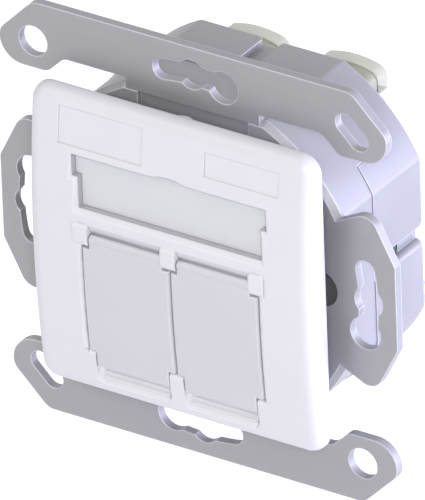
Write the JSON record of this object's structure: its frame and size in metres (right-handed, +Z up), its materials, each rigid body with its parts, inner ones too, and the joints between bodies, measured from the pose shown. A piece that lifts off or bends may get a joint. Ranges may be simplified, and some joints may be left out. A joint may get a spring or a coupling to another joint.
{
  "type": "ethernet outlet insert",
  "caption": "Flush wall-box data outlet insert: die-cast body with mounting strips and ears, centre plate with label window and hinged dust flaps over shielded RJ45 sockets.",
  "frame": {"origin": "centre of the square of corner fixings and of the 60 mm box-screw circle, on the back face of the mounting strips, which is the plane of the wall", "axes": "+Z up, +Y into the wall, +X to the right as seen from the room; the sockets open towards -Y"},
  "size_m": [0.0696, 0.0394, 0.0692],
  "materials": {
    "die_cast": "matt grey die-cast zinc",
    "screw_steel": "zinc-plated",
    "white_plastic": "fine satin",
    "window": "clear, smooth",
    "paper": "plain paper",
    "board": "green solder mask",
    "socket_black": "satin",
    "shield_steel": "nickel-plated sheet",
    "contact_gold": "gold-plated",
    "terminal_white": "satin",
    "cap_translucent": "milky, slightly green"
  },
  "bodies": {
    "outlet": {"support_frame": "die_cast", "rear_housing": "die_cast", "housing_screws": "screw_steel", "centre_plate": "white_plastic", "plate_screw": "screw_steel", "label_card": "paper", "label_cover": "window", "circuit_board": "board", "jack_left": "socket_black", "jack_right": "socket_black", "jack_shield_left": "shield_steel", "jack_shield_right": "shield_steel", "jack_contacts_left": "contact_gold", "jack_contacts_right": "contact_gold", "terminal_block_left": "terminal_white", "terminal_block_right": "terminal_white", "terminal_contacts_left": "shield_steel", "terminal_contacts_right": "shield_steel", "wire_cap_left": "cap_translucent", "wire_cap_right": "cap_translucent", "cable_clamp": "die_cast", "clamp_screws": "screw_steel"},
    "flap_left": {"flap_left": "white_plastic"},
    "flap_right": {"flap_right": "white_plastic"}
  },
  "joints": [
    {"name": "flap_left_hinge", "type": "hinge", "parent": "outlet", "child": "flap_left", "pos_m": [-0.0078, -0.0085, 0.00195], "axis": [-1, 0, 0], "range_deg": [0, 90]},
    {"name": "flap_right_hinge", "type": "hinge", "parent": "outlet", "child": "flap_right", "pos_m": [0.0078, -0.0085, 0.00195], "axis": [-1, 0, 0], "range_deg": [0, 90]}
  ]
}
